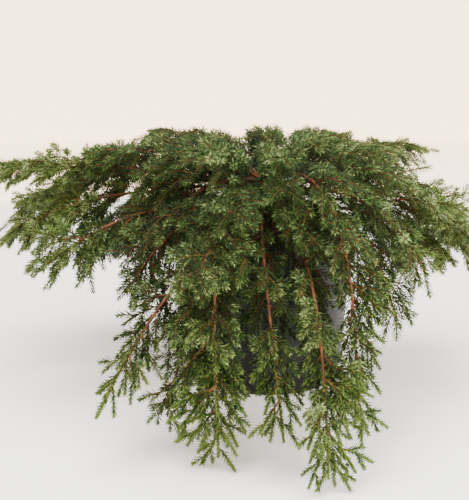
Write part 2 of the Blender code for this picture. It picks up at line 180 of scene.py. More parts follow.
def raise_rings(profile):
    """Draws a round face up through (radius, height) pairs, as one closed wall."""
    bpy.ops.object.mode_set(mode="EDIT")
    bpy.ops.mesh.select_mode(type="FACE")
    bpy.ops.mesh.select_all(action="SELECT")
    for (radius, height), (wider, higher) in zip(profile, profile[1:]):
        bpy.ops.mesh.extrude_region_move(
            TRANSFORM_OT_translate={"value": (0.0, 0.0, higher - height)},
        )
        scale = wider / radius
        bpy.ops.transform.resize(value=(scale, scale, 1.0), center_override=(0.0, 0.0, higher))
    bpy.ops.mesh.select_all(action="SELECT")
    bpy.ops.mesh.normals_make_consistent(inside=False)
    bpy.ops.object.mode_set(mode="OBJECT")


pot_profile = [
    (BASE_RADIUS - FOOT_BEVEL, 0.0),
    (BASE_RADIUS, 2 * FOOT_BEVEL),
    *[(wall_radius(BAND_FOOT * k / WALL_STEPS), BAND_FOOT * k / WALL_STEPS)
      for k in range(1, WALL_STEPS)],
    (wall_radius(BAND_FOOT - BAND_TAPER), BAND_FOOT - BAND_TAPER),
    (wall_radius(BAND_FOOT), BAND_FOOT - LIP),
    (RIM_RADIUS - 2 * LIP, BAND_FOOT),
    (RIM_RADIUS - LIP, BAND_FOOT + LIP),
    (RIM_RADIUS, POT_HEIGHT - LIP),
    (RIM_RADIUS - 0.3 * LIP, POT_HEIGHT - 0.3 * LIP),
    (RIM_RADIUS - LIP, POT_HEIGHT),
    (RIM_RADIUS - POT_WALL, POT_HEIGHT),
    (RIM_RADIUS - POT_WALL - 0.5 * LIP, POT_HEIGHT - LIP),
    (wall_radius(BAND_FOOT) - POT_WALL, BAND_FOOT),
    (BASE_RADIUS - POT_WALL, POT_FLOOR),
]
bpy.ops.mesh.primitive_circle_add(
    vertices=POT_SIDES, radius=pot_profile[0][0], fill_type="NGON", location=(0.0, 0.0, 0.0),
)
pot = bpy.context.object
pot.name = "nursery_pot"
raise_rings(pot_profile)

notch_cutters = []
for number in range(DRAIN_NOTCHES):
    angle = radians(360.0 * (number + 0.5) / DRAIN_NOTCHES)
    bpy.ops.mesh.primitive_cylinder_add(
        vertices=DRAIN_NOTCH_SIDES, radius=DRAIN_NOTCH_RADIUS, depth=2 * DRAIN_NOTCH_DEPTH,
        location=(BASE_RADIUS * cos(angle), BASE_RADIUS * sin(angle), 0.0),
        rotation=(0.0, pi / 2, angle),
    )
    notch_cutters.append(bpy.context.object)
bpy.ops.object.select_all(action="DESELECT")
for cutter in notch_cutters:
    cutter.select_set(True)
bpy.context.view_layer.objects.active = notch_cutters[0]
bpy.ops.object.join()
notch_cutter = bpy.context.object
bpy.ops.object.select_all(action="DESELECT")
pot.select_set(True)
bpy.context.view_layer.objects.active = pot
notches = pot.modifiers.new("drain_notches", "BOOLEAN")
notches.operation = "DIFFERENCE"
notches.object = notch_cutter
notches.solver = "EXACT"
bpy.ops.object.modifier_apply(modifier="drain_notches")
bpy.data.objects.remove(notch_cutter, do_unlink=True)
bpy.ops.object.shade_smooth_by_angle(angle=radians(38))


def vary_colour(tree, shader, scale, darker, lighter, detail=6.0):
    """Mottles the base colour between two colours with noise on Object coordinates."""
    place = tree.nodes.new("ShaderNodeTexCoord")
    mottle = tree.nodes.new("ShaderNodeTexNoise")
    mottle.inputs["Scale"].default_value = scale
    mottle.inputs["Detail"].default_value = detail
    ramp = tree.nodes.new("ShaderNodeValToRGB")
    ramp.color_ramp.elements[0].position = MOTTLE_EDGES[0]
    ramp.color_ramp.elements[0].color = (*darker, 1.0)
    ramp.color_ramp.elements[1].position = MOTTLE_EDGES[1]
    ramp.color_ramp.elements[1].color = (*lighter, 1.0)
    tree.links.new(place.outputs["Object"], mottle.inputs["Vector"])
    tree.links.new(mottle.outputs["Fac"], ramp.inputs["Fac"])
    tree.links.new(ramp.outputs["Color"], shader.inputs["Base Color"])


def roughen(tree, shader, scale, strength, distance):
    """Adds a fine bump with noise on Object coordinates."""
    place = tree.nodes.new("ShaderNodeTexCoord")
    grain = tree.nodes.new("ShaderNodeTexNoise")
    grain.inputs["Scale"].default_value = scale
    grain.inputs["Detail"].default_value = GRAIN_DETAIL
    bump = tree.nodes.new("ShaderNodeBump")
    bump.inputs["Strength"].default_value = strength
    bump.inputs["Distance"].default_value = distance
    tree.links.new(place.outputs["Object"], grain.inputs["Vector"])
    tree.links.new(grain.outputs["Fac"], bump.inputs["Height"])
    tree.links.new(bump.outputs["Normal"], shader.inputs["Normal"])


black_plastic, pot_tree, pot_shader = plain_finish(
    "black_pressed_plastic", (0.0012, 0.0011, 0.0014), 0.42, 0.22,
)
vary_colour(pot_tree, pot_shader, 60.0, (0.0009, 0.0008, 0.0011), (0.0016, 0.0015, 0.0019))
roughen(pot_tree, pot_shader, 900.0, 0.2, 0.0004)
pot.data.materials.append(black_plastic)
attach(pot, "root")
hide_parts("pot")


# Potting soil
# Damp dark peat with crumbs and loose chips of bark, filled in by hand to a finger's
# width under the rim. The shoots hide nearly all of it.

SOIL_TOP = 0.152
SOIL_HOLLOW = 0.0025
SOIL_EDGE = 0.0030
SOIL_LUMPS = 0.0030
SOIL_RINGS = 44
SOIL_SIDES = 150
FLARE_RADIUS = 0.0150
GAP = 0.0003
DISH_START = 1.25 * FLARE_RADIUS
DISH_WIDTH = 0.028
LUMPS_START = 1.1 * FLARE_RADIUS
LUMPS_FADE = 0.012
WALL_FADE = 0.004
LUMP_SCALE = 160.0
LUMP_LAYERS = 5
SEED = 7
BARK_CHIPS = 320
CHIPS_START = 1.4 * FLARE_RADIUS
CHIPS_END = 0.006
CHIPS_CROWDING = 0.6
CHIP_LENGTHS = (0.0025, 0.0075)
CHIP_WIDTHS = (0.0015, 0.0032)
CHIP_THICKNESS = 0.0016
CHIP_WEAR = 0.55
CHIP_TIP = 0.3
CHIP_LIFT = 0.0004

soil_edge = SOIL_TOP - SOIL_EDGE
soil_radius = wall_radius(soil_edge) - POT_WALL - 2 * GAP
soil_profile = [
    (BASE_RADIUS - POT_WALL - 2 * GAP, POT_FLOOR + GAP),
    (0.5 * (soil_radius + BASE_RADIUS - POT_WALL), 0.5 * soil_edge),
    (soil_radius, soil_edge),
]
soil_profile += [
    (soil_radius * (1.0 - k / SOIL_RINGS), soil_edge) for k in range(1, SOIL_RINGS)
]
bpy.ops.mesh.primitive_circle_add(
    vertices=SOIL_SIDES, radius=soil_profile[0][0], fill_type="NGON",
    location=(0.0, 0.0, POT_FLOOR + GAP),
)
bpy.ops.object.transform_apply(location=True, rotation=True, scale=True)
soil = bpy.context.object
soil.name = "peat_fill"
raise_rings(soil_profile)


def soil_height(x, y):
    """Height of the peat's dished and lumpy top, which is even round trunk and wall."""
    out = hypot(x, y)
    dish = SOIL_TOP - SOIL_HOLLOW * min(1.0, max(0.0, (out - DISH_START) / DISH_WIDTH))
    off_trunk = min(1.0, max(0.0, (out - LUMPS_START) / LUMPS_FADE))
    off_wall = min(1.0, max(0.0, (soil_radius - out) / WALL_FADE))
    lumps = noise.fractal(Vector((x, y, 0.3)) * LUMP_SCALE, 0.9, 2.1, LUMP_LAYERS)
    return dish + SOIL_LUMPS * off_trunk * off_wall * max(-0.6, min(0.9, lumps))


for vertex in soil.data.vertices:
    if vertex.co.z > soil_edge - 0.0001 and hypot(vertex.co.x, vertex.co.y) < soil_radius - 0.001:
        vertex.co.z = soil_height(vertex.co.x, vertex.co.y)
bpy.ops.object.shade_smooth_by_angle(angle=radians(50))


def mesh_of_triangles(name, points, faces):
    """A mesh from an array of points and an array of the points of each triangle."""
    mesh = bpy.data.meshes.new(name)
    mesh.vertices.add(len(points))
    mesh.vertices.foreach_set("co", points.astype(np.float32).ravel())
    mesh.loops.add(3 * len(faces))
    mesh.loops.foreach_set("vertex_index", faces.astype(np.int32).ravel())
    mesh.polygons.add(len(faces))
    mesh.polygons.foreach_set("loop_start", 3 * np.arange(len(faces), dtype=np.int32))
    mesh.update(calc_edges=True)
    mesh.validate()
    return mesh


def plant_piece(mesh, finishes, nodes, smooth=True):
    """Puts a finished mesh on the plant, in place of the given nodes."""
    thing = bpy.data.objects.new(mesh.name, mesh)
    bpy.context.scene.collection.objects.link(thing)
    for finish in finishes:
        mesh.materials.append(finish)
    if smooth:
        mesh.polygons.foreach_set("use_smooth", np.ones(len(mesh.polygons), dtype=bool))
    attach(thing, "root")
    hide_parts(*nodes)
    return thing


CHIP_CORNERS = np.array([
    [-1, -1, -1], [1, -1, -1], [1, 1, -1], [-1, 1, -1],
    [-1, -1, 1], [1, -1, 1], [1, 1, 1], [-1, 1, 1],
])
CHIP_FACES = np.array([
    [0, 2, 1], [0, 3, 2], [4, 5, 6], [4, 6, 7], [0, 1, 5], [0, 5, 4],
    [1, 2, 6], [1, 6, 5], [2, 3, 7], [2, 7, 6], [3, 0, 4], [3, 4, 7],
])
rng = np.random.default_rng(SEED)
chips = []
for number in range(BARK_CHIPS):
    out = CHIPS_START + (soil_radius - CHIPS_END - CHIPS_START) * rng.random() ** CHIPS_CROWDING
    turn = rng.uniform(0, 2 * pi)
    x = out * cos(turn)
    y = out * sin(turn)
    length = rng.uniform(*CHIP_LENGTHS)
    width = rng.uniform(*CHIP_WIDTHS)
    worn = CHIP_CORNERS * rng.uniform(CHIP_WEAR, 1.0, CHIP_CORNERS.shape)
    corners = worn * (0.5 * length, 0.5 * width, 0.5 * CHIP_THICKNESS)
    spin = rng.uniform(0, 2 * pi)
    tip = rng.normal(0.0, CHIP_TIP)
    tipped = corners @ np.array([[cos(tip), 0, sin(tip)], [0, 1, 0], [-sin(tip), 0, cos(tip)]])
    spun = tipped @ np.array([[cos(spin), sin(spin), 0], [-sin(spin), cos(spin), 0], [0, 0, 1]])
    chips.append(spun + (x, y, soil_height(x, y) + CHIP_LIFT))
chip_faces = CHIP_FACES[None] + 8 * np.arange(BARK_CHIPS)[:, None, None]
chip_mesh = mesh_of_triangles("bark_chips", np.concatenate(chips), chip_faces.reshape(-1, 3))

peat, peat_tree, peat_shader = plain_finish("damp_peat", (0.010, 0.007, 0.004), 0.95, 0.2)
vary_colour(peat_tree, peat_shader, 240.0, (0.005, 0.003, 0.002), (0.030, 0.018, 0.010), 10.0)
roughen(peat_tree, peat_shader, 420.0, 1.0, 0.002)
soil.data.materials.append(peat)
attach(soil, "root")
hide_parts("potting_soil")
chip_bark, chip_tree, chip_shader = plain_finish("bark_chip", (0.035, 0.018, 0.009), 0.9, 0.2)
vary_colour(chip_tree, chip_shader, 150.0, (0.015, 0.008, 0.004), (0.070, 0.036, 0.018))
roughen(chip_tree, chip_shader, 600.0, 0.8, 0.001)
plant_piece(chip_mesh, [chip_bark], ["potting_soil"], smooth=False)


# Trunk and boughs
# The woody frame: a short flared trunk and the boughs that leave it at four heights.
# Thin red-brown bark peels off them in strips.

TRUNK_TOP = 0.200
TRUNK_RADIUS = 0.0090
FLARE_HEIGHT = 0.010
TRUNK_LEAN = 0.0015
FORK_HEIGHTS = (0.164, 0.175, 0.186, 0.197)
FORK_REACH = 0.0028
BARE_LENGTHS = (0.036, 0.029, 0.022, 0.015)
BOUGH_RADIUS = 0.0027
MASS_STEM_RADIUS = 0.0021
PATH_STEPS = 48
SAG_POWER = 0.7
DOME_REACH = 0.0050
BARE_STEPS = 12
STEM_STEPS = 40

Bough = namedtuple("Bough", "heading fork length rise fall turn")
BOUGHS = {
    "left": Bough(182, 1, 0.275, 27, -29, -13),
    "left_low": Bough(200, 0, 0.230, 34, -36, 3),
    "left_back": Bough(162, 2, 0.320, 25, -26, -18),
    "left_top": Bough(175, 3, 0.265, 14, -1, 1),
    "left_front": Bough(217, 3, 0.165, 42, -68, 3),
    "mid_left": Bough(228, 2, 0.205, 23, -46, 2),
    "lower_left": Bough(254, 0, 0.320, 28, -58, -34),
    "front_left": Bough(259, 1, 0.285, 26, -75, -34),
    "center": Bough(245, 3, 0.360, 38, -88, 39),
    "center_fork": Bough(262, 2, 0.318, 22, -68, 22),
    "front_right": Bough(283, 0, 0.345, 30, -70, -12),
    "right_front": Bough(294, 3, 0.345, 48, -96, -21),
    "right_side": Bough(313, 1, 0.220, 40, -68, -16),
    "right_long": Bough(321, 2, 0.215, 37, -45, -24),
    "right_low": Bough(344, 0, 0.180, 37, -41, 9),
    "right": Bough(348, 2, 0.210, 25, -38, -1),
    "right_top": Bough(9, 3, 0.215, 22, -42, 3),
    "back_right": Bough(38, 1, 0.212, 57, -14, -3),
    "back_low_right": Bough(18, 0, 0.235, 36, -50, 6),
    "back_top": Bough(62, 3, 0.200, 48, -14, 6),
    "back_low": Bough(76, 0, 0.310, 36, -82, 0),
    "back": Bough(92, 2, 0.235, 40, -34, -8),
    "back_low_left": Bough(108, 0, 0.300, 36, -80, 0),
    "back_left": Bough(132, 3, 0.212, 42, -8, -4),
    "back_side": Bough(143, 1, 0.255, 34, -52, 0),
}
DOME = {
    "dome_left": Bough(150, None, 0.112, 52, 10, -20),
    "dome_back": Bough(88, None, 0.085, 66, 20, 0),
    "dome_right": Bough(30, None, 0.105, 54, 10, -10),
    "dome_front": Bough(266, None, 0.190, 34, -46, 36),
    "dome_front_left": Bough(214, None, 0.135, 50, -40, -6),
    "dome_front_right": Bough(334, None, 0.130, 50, -36, -16),
}


def direction(heading, elevation):
    """A unit vector from its heading, counted from +X towards +Y, and its elevation."""
    level = cos(radians(elevation))
    return Vector((
        level * cos(radians(heading)), level * sin(radians(heading)), sin(radians(elevation)),
    ))


def bough_path(bough):
    """Points along a bough and its foliage stem, evenly spaced, from trunk to tip."""
    first = direction(bough.heading, 0.0)
    if bough.fork is None:
        clear = 2 * GAP + MASS_STEM_RADIUS * cos(radians(bough.rise))
        point = first * DOME_REACH + Vector((TRUNK_LEAN, 0.0, TRUNK_TOP + clear))
    else:
        height = FORK_HEIGHTS[bough.fork]
        lean = TRUNK_LEAN * (height - SOIL_TOP) / (TRUNK_TOP - SOIL_TOP)
        point = first * (TRUNK_RADIUS + FORK_REACH) + Vector((lean, 0.0, height))
    step = bough.length / PATH_STEPS
    points = [point]
    for number in range(PATH_STEPS):
        along = (number + 0.5) / PATH_STEPS
        elevation = bough.rise + (bough.fall - bough.rise) * along ** SAG_POWER
        heading = bough.heading + bough.turn * along
        point = point + direction(heading, elevation) * step
        points.append(point)
    return points


class Route:
    """A path with evenly spaced points that can be read at any distance along it."""

    def __init__(self, points):
        self.points = points
        self.step = (points[1] - points[0]).length
        self.length = self.step * (len(points) - 1)

    def at(self, distance):
        """The point at a distance along the path."""
        place = min(max(distance / self.step, 0.0), len(self.points) - 1.0)
        number = min(int(place), len(self.points) - 2)
        return self.points[number].lerp(self.points[number + 1], place - number)

    def forward(self, distance):
        """The path's direction at a distance along it."""
        number = min(max(int(distance / self.step), 0), len(self.points) - 2)
        return (self.points[number + 1] - self.points[number]).normalized()

    def part(self, start, end, pieces):
        """Points from a start to an end distance, in that many even pieces."""
        return [self.at(start + (end - start) * k / pieces) for k in range(pieces + 1)]


class Tubes:
    """Gathers closed tapering tubes in arrays, to be made one mesh at the end."""

    def __init__(self):
        self.points = []
        self.faces = []
        self.count = 0

    def add(self, path, radii, sides, relief=1.0):
        """A tube along a path. The relief gives factors on the radius by ring and side."""
        path = np.array(path)
        forward = np.gradient(path, axis=0)
        forward /= np.linalg.norm(forward, axis=1)[:, None]
        across = np.cross(forward, (0.31, 0.42, 0.85))
        across /= np.linalg.norm(across, axis=1)[:, None]
        above = np.cross(forward, across)
        turn = 2 * pi * np.arange(sides) / sides
        ring = across[:, None] * np.cos(turn)[:, None] + above[:, None] * np.sin(turn)[:, None]
        radius = np.repeat(np.array(radii)[:, None], sides, axis=1) * relief
        tube = path[:, None] + ring * radius[:, :, None]
        self.points += [tube.reshape(-1, 3), np.array([path[0], path[-1]])]
        rings = len(path)
        side = np.arange(sides)
        other = (side + 1) % sides
        for number in range(rings - 1):
            low = self.count + number * sides
            high = low + sides
            quads = np.stack([low + side, low + other, high + other, high + side], axis=1)
            self.faces += [quads[:, [0, 1, 2]], quads[:, [0, 2, 3]]]
        foot = self.count + rings * sides
        last = self.count + (rings - 1) * sides
        self.faces += [
            np.stack([np.full(sides, foot), self.count + other, self.count + side], axis=1),
            np.stack([np.full(sides, foot + 1), last + side, last + other], axis=1),
        ]
        self.count += rings * sides + 2

    def mesh(self, name):
        """All the tubes as one mesh."""
        return mesh_of_triangles(name, np.concatenate(self.points), np.concatenate(self.faces))


STRIP_SHARE = 0.6
CRACK_SHARE = 0.7
CRACK_DRIFT = 0.35


def bark_relief(rings, sides, seed, depth):
    """Strips and cracks along the bark, as factors on the radius of each ring's points."""
    rng = np.random.default_rng(seed)
    strips = rng.uniform(-1.0, 1.0, sides)
    cracks = np.cumsum(rng.normal(0.0, CRACK_DRIFT, (rings, sides)), axis=0)
    cracks = np.tanh(cracks - cracks.mean(axis=0))
    return 1.0 + depth * (STRIP_SHARE * strips[None, :] + CRACK_SHARE * cracks)


TRUNK_RINGS = 48
TRUNK_SIDES = 32
TRUNK_TAPER = 0.04
TRUNK_RELIEF = 0.06
FLARE_POWER = 1.7
SHOULDER = 0.004
SHOULDER_FLAT = 0.0008
SHOULDER_POWER = 0.4
BOUGH_RING_STEP = 0.0016
BOUGH_SIDES = 14
BOUGH_RELIEF = 0.10
BOUGH_SWELLING = 1.05
OVERLAP = 0.004

limbs = Tubes()
foot = SOIL_TOP + GAP
rise = TRUNK_TOP - foot
heights = np.linspace(0.0, rise, TRUNK_RINGS)
flare = np.clip(1.0 - heights / FLARE_HEIGHT, 0.0, 1.0) ** FLARE_POWER
trunk_radii = TRUNK_RADIUS * (1.0 - TRUNK_TAPER * heights / rise)
trunk_radii += (FLARE_RADIUS - TRUNK_RADIUS) * flare
shoulder = np.clip((rise + SHOULDER_FLAT - heights) / SHOULDER, 0.0, 1.0)
trunk_radii *= shoulder ** SHOULDER_POWER
lean = TRUNK_LEAN * np.clip(heights - FLARE_HEIGHT, 0.0, None) / rise
trunk_path = np.stack([lean, 0.0 * heights, foot + heights], axis=1)
trunk_relief = bark_relief(TRUNK_RINGS, TRUNK_SIDES, SEED, TRUNK_RELIEF)
limbs.add(trunk_path, trunk_radii, TRUNK_SIDES, trunk_relief)

stems = {}
bare = {}
for number, (name, bough) in enumerate(BOUGHS.items()):
    route = Route(bough_path(bough))
    bare_length = BARE_LENGTHS[bough.fork]
    bare[name] = Route(route.part(0.0, bare_length, BARE_STEPS))
    stems[name] = Route(route.part(bare_length + 1.5 * GAP, route.length, STEM_STEPS))
    rings = int(bare_length / BOUGH_RING_STEP) + 4
    sunk_end = route.at(0.0) - route.forward(0.0) * OVERLAP
    path = [sunk_end, *route.part(0.0, bare_length + OVERLAP, rings - 2)]
    radii = np.linspace(BOUGH_RADIUS * BOUGH_SWELLING, MASS_STEM_RADIUS, rings)
    relief = bark_relief(rings, BOUGH_SIDES, SEED + number, BOUGH_RELIEF)
    limbs.add(path, radii, BOUGH_SIDES, relief)
for name, bough in DOME.items():
    stems[name] = Route(bough_path(bough))

bark, bark_tree, bark_shader = plain_finish("peeling_red_bark", (0.050, 0.015, 0.006), 0.8, 0.2)
vary_colour(bark_tree, bark_shader, 160.0, (0.016, 0.005, 0.003), (0.085, 0.028, 0.010), 8.0)
roughen(bark_tree, bark_shader, 700.0, 0.6, 0.0008)
bough_nodes = [f"bough_{name}" for name in BOUGHS]
plant_piece(limbs.mesh("barked_limbs"), [bark], ["trunk", *bough_nodes])


# Stems and twigs
# Each bough runs on as the stem of its foliage, and side twigs that droop at their ends
# grow from it. They are young wood with smooth, orange-brown bark.

STEM_END_RADIUS = 0.0007
STEM_SAMPLES = 40
BOUGH_SAMPLES = 16
TWIG_SPACING = 0.0205
TWIG_SPACING_PLAY = (0.85, 1.15)
DOME_TWIG_SPACING = 0.0110
FIRST_TWIG = 0.004
TWIG_LENGTH = 0.078
TWIG_TIP_LENGTH = 0.025
TWIG_LENGTH_PLAY = (0.85, 1.1)
TWIG_TAPER = 0.65
TWIG_RADIUS = 0.0011
TWIG_ANGLE = 46.0
TWIG_SAG = 65.0
TWIG_PIECES = 6
TWIG_TURNS = (98, -98, 68, 114, -114, -68)
TURN_SPREAD = 14.0
TWIG_SWINGS = (0, -55, 55, 160)
TWIG_SHRINKS = (1.0, 0.75, 0.55, 0.4)
SKIRT_TURNS = (158, -158, 180)
SKIRT_TWIGS = 5
SKIRT_LENGTH = 0.090
CROWN_HEART = Vector((0.0, 0.0, 0.09))
CROWN_TOP = 0.254
CROWN_FALL = 0.40
CROWN_WAVE = 0.004
CROWN_LUMP = 0.009
CROWN_PHASE = 1.9
SPACE_CLEARANCE = 0.0016
LIMB_CLEARANCE = 0.0012
POT_CLEARANCE = 0.005
TRUNK_CLEARANCE = 0.002
SPREADS = {
    "left": 1.2, "left_low": 1.1, "left_back": 1.3, "left_top": 1.3, "right": 1.2,
    "lower_left": 0.65, "front_left": 0.8, "right_front": 0.75, "right_long": 0.8,
    "right_side": 0.8, "center_fork": 0.75, "center": 1.1,
}


class Space:
    """The room that belongs to each mass: the points nearest to its own stem."""

    def __init__(self, routes, bough_routes):
        self.names = list(routes)
        samples = [self.sample(routes[name], STEM_SAMPLES) for name in self.names]
        self.points = np.concatenate(samples)
        self.owner = np.repeat(np.arange(len(samples)), [len(s) for s in samples])
        limbs = [self.sample(route, BOUGH_SAMPLES) for route in bough_routes.values()]
        self.limbs = np.concatenate(limbs)

    @staticmethod
    def sample(route, count):
        """Points along a route from end to end, as an array."""
        return np.array([route.at(route.length * k / count) for k in range(count + 1)])

    def holds(self, name, point):
        """Whether a point is in the mass's own space and clear of limbs, pot and floor."""
        if point.z < SPACE_CLEARANCE:
            return False
        out = hypot(point.x, point.y)
        if out < RIM_RADIUS + POT_CLEARANCE and point.z < POT_HEIGHT + POT_CLEARANCE:
            return False
        wave = sin(point.x / CROWN_LUMP + CROWN_PHASE) + sin(point.y / CROWN_LUMP)
        if point.z > CROWN_TOP - CROWN_FALL * out * out + CROWN_WAVE * wave:
            return False
        if out < FLARE_RADIUS and point.z < TRUNK_TOP + TRUNK_CLEARANCE:
            return False
        place = np.array(point)
        if np.linalg.norm(self.limbs - place, axis=1).min() < BOUGH_RADIUS + LIMB_CLEARANCE:
            return False
        far = np.linalg.norm(self.points - place, axis=1)
        own = self.owner == self.names.index(name)
        return far[own].min() + SPACE_CLEARANCE < far[~own].min()


def side_route(stem, distance, length, around, angle, sag, pieces, sweep=0.0):
    """The curved path of a side growth that leaves the stem at a distance along it."""
    forward = stem.forward(distance)
    side = forward.cross(stem.at(distance) - CROWN_HEART).normalized()
    outward = side.cross(forward)
    aside = side * sin(radians(around)) + outward * cos(radians(around))
    heading = forward * cos(radians(angle)) + aside * sin(radians(angle))
    point = stem.at(distance)
    points = [point]
    down = Vector((0.0, 0.0, -sin(radians(sag)) * hypot(forward.x, forward.y)))
    for number in range(pieces):
        bend = (down + forward * sweep) * (number + 0.5) / pieces
        point = point + (heading + bend).normalized() * (length / pieces)
        points.append(point)
    return Route(points)


def mass_twigs(name, stem, space):
    """Places the side twigs of one mass by its seeded rule, as routes."""
    rng = random.Random(f"{SEED} {name}")
    spacing = DOME_TWIG_SPACING if name in DOME else TWIG_SPACING
    routes = []
    distance = FIRST_TWIG
    number = rng.randrange(2)
    while distance < stem.length - TWIG_TIP_LENGTH:
        along = distance / stem.length
        length = TWIG_TIP_LENGTH + (TWIG_LENGTH - TWIG_TIP_LENGTH) * (1.0 - along) ** TWIG_TAPER
        length *= rng.uniform(*TWIG_LENGTH_PLAY) * SPREADS.get(name, 1.0)
        turns = TWIG_TURNS
        if name in BOUGHS and number % 2 and len(routes) < SKIRT_TWIGS and distance < SKIRT_LENGTH:
            turns = SKIRT_TURNS
        around = turns[number % len(turns)] + rng.uniform(-TURN_SPREAD, TURN_SPREAD)
        for shrink, swing in product(TWIG_SHRINKS, TWIG_SWINGS):
            route = side_route(
                stem, distance, length * shrink, around + swing, TWIG_ANGLE, TWIG_SAG, TWIG_PIECES,
            )
            if all(space.holds(name, point) for point in route.points[1:]):
                routes.append(route)
                break
        number += 1
        distance += spacing * rng.uniform(*TWIG_SPACING_PLAY)
    return routes


STEM_RING_STEP = 0.003
STEM_TAPER = 0.8
STEM_SIDES = 8
STEM_RELIEF = 0.07
TWIG_RINGS = 9
TWIG_SIDES = 5

space = Space(stems, bare)
twigs = {name: mass_twigs(name, stem, space) for name, stem in stems.items()}
woody = Tubes()
for number, (name, stem) in enumerate(stems.items()):
    rings = int(stem.length / STEM_RING_STEP) + 2
    taper = np.linspace(1.0, 0.0, rings) ** STEM_TAPER
    radii = STEM_END_RADIUS + (MASS_STEM_RADIUS - STEM_END_RADIUS) * taper
    sunk_end = stem.at(0.0) - stem.forward(0.0) * OVERLAP
    if name in DOME:
        sunk_end = Vector((TRUNK_LEAN, 0.0, TRUNK_TOP - OVERLAP))
    path = [sunk_end, *stem.part(0.0, stem.length, rings - 2)]
    woody.add(path, radii, STEM_SIDES, bark_relief(rings, STEM_SIDES, SEED + number, STEM_RELIEF))
    for twig in twigs[name]:
        path = twig.part(0.0, twig.length, TWIG_RINGS - 1)
        woody.add(path, np.linspace(TWIG_RADIUS, 0.5 * STEM_END_RADIUS, TWIG_RINGS), TWIG_SIDES)

foliage_nodes = [f"foliage_{name}" for name in stems]
twig_bark, twig_tree, twig_shader = plain_finish(
    "young_orange_bark", (0.075, 0.021, 0.007), 0.6, 0.2,
)
vary_colour(twig_tree, twig_shader, 120.0, (0.034, 0.010, 0.004), (0.120, 0.040, 0.012))
roughen(twig_tree, twig_shader, 900.0, 0.4, 0.0005)
plant_piece(woody.mesh("stems_and_twigs"), [twig_bark], foliage_nodes)


# Green shoots
# This and last year's growth: fine shoots left and right of every stem and twig, like the
# barbs of a feather, with short sprigs on the longer ones. Their thin skin is brown.

SHOOT_SPACING = 0.0074
STEM_SHOOT_SPACING = 0.0050
SPACING_PLAY = (0.8, 1.2)
DOME_DENSITY = 0.52
SPREAD_DENSITY = -0.85
FIRST_SHOOT = 0.006
FIRST_STEM_SHOOT = 0.003
LAST_SHOOT = 0.004
SHOOT_REACH = 0.048
STEM_SHOOT_REACH = 0.050
SHORT_TWIG_REACH = 0.22
LONG_TWIG_REACH = 0.78
REACH_LOSS = 0.45
REACH_PLAY = (0.75, 1.12)
SHOOT_SHRINKS = (1.0, 0.7, 0.45, 0.28)
SHOOT_PIECES = 5
SHOOT_RINGS = 4
SHOOT_SIDES = 4
SHOOT_ANGLE = 40.0
ANGLE_PLAY = 5.0
SHOOT_RISE = 8.0
SHOOT_DROOP = 32.0
RISING_WITHIN = 62.0
SHOOT_SWEEP = 0.40
SHOOT_RADIUS = 0.0006
SHOOT_TIP_RADIUS = 0.0003
SHOOT_TURNS = (82, -82, 104, -104, 60, -150, -88, 88, -60, 150)
STEM_SHOOT_TURNS = (88, -88, 112, -112, 150, -150)
TURN_PLAY = 12.0
COVERED = 0.42
COVER_TURN = 0.25
LAID = 8.0
FORK_COVER = 0.020
FORK_TURNS = (0.6, 0.3)
FORK_ANGLE = 50.0
EDGE_SPACING = 0.3
LOW_SPACING = 0.7

# The sprigs, on long shoots away from the middle.
SPRIG_LENGTH = 0.014
SPRIG_LENGTH_PLAY = (0.75, 1.2)
SPRIG_SPACING = 0.0075
SPRIG_TURN = 84.0
SPRIG_RADIUS = 0.7 * SHOOT_RADIUS
SPRIG_PIECES = 3
SPRIG_SIDES = 3
SPRIG_REGION = 0.15
SPRIG_BEARER = 0.026
SPRIGS_START = 0.22
SPRIGS_END = 0.72

# How young the growth is at each place, with painted light and shade mixed in, which settles its
# tone.
CROWN_SPREAD = 0.27
YOUNG_BELOW = 0.10
LIT_ABOVE = 0.228
LIT_FADE = 0.02
# Painted light and shade: the crown's sides, the right more than the left, count as further out
# and get lighter tones, and the front middle gets darker ones.
SHADED_MIDDLE_X = -0.022
LIT_SIDE_STRETCH = 1.5
SHADED_FRONT_SQUEEZE = 0.88
FAR_YOUTH = 0.8
LOW_YOUTH = 0.7
# Painted light: growth on the top of the crown gets lighter tones.
PAINTED_TOP_LIGHT = 0.45
OUTER_YOUTH_AND_LIGHT = 0.78
CHANCE_YOUTH = 0.22
SHADE = 0.32
SHADE_DEPTH = 0.020
DEEPEST_SHADE = 1.5
OUTER_LIGHT = 0.6
STEM_YOUTH_PLACE = 0.85
YOUTH_PLACE = 0.6

# The share of a stem or twig that is bare before its own needles begin.
STEM_BEARING = 0.70
DOME_BEARING = 0.08
LONG_TWIG = 0.058
LONG_TWIG_BEARING = 0.40
SHORT_TWIG_BEARING = 0.04

Shoot = namedtuple("Shoot", "route bearing youth")


def toward_edge(point):
    """From 0 over the pot's middle to 1 at the edge of the crown and past it."""
    return min(1.0, hypot(point.x, point.y) / CROWN_SPREAD) ** 2


def toward_floor(point):
    """From 0 where the hanging ends begin to 1 on the floor."""
    return max(0.0, 1.0 - point.z / YOUNG_BELOW)


def depth_inside(stem, point):
    """How much nearer to the heart of the crown a point lies than the stem beside it."""
    beside = min(stem.points, key=lambda other: (other - point).length_squared)
    return (beside - CROWN_HEART).length - (point - CROWN_HEART).length


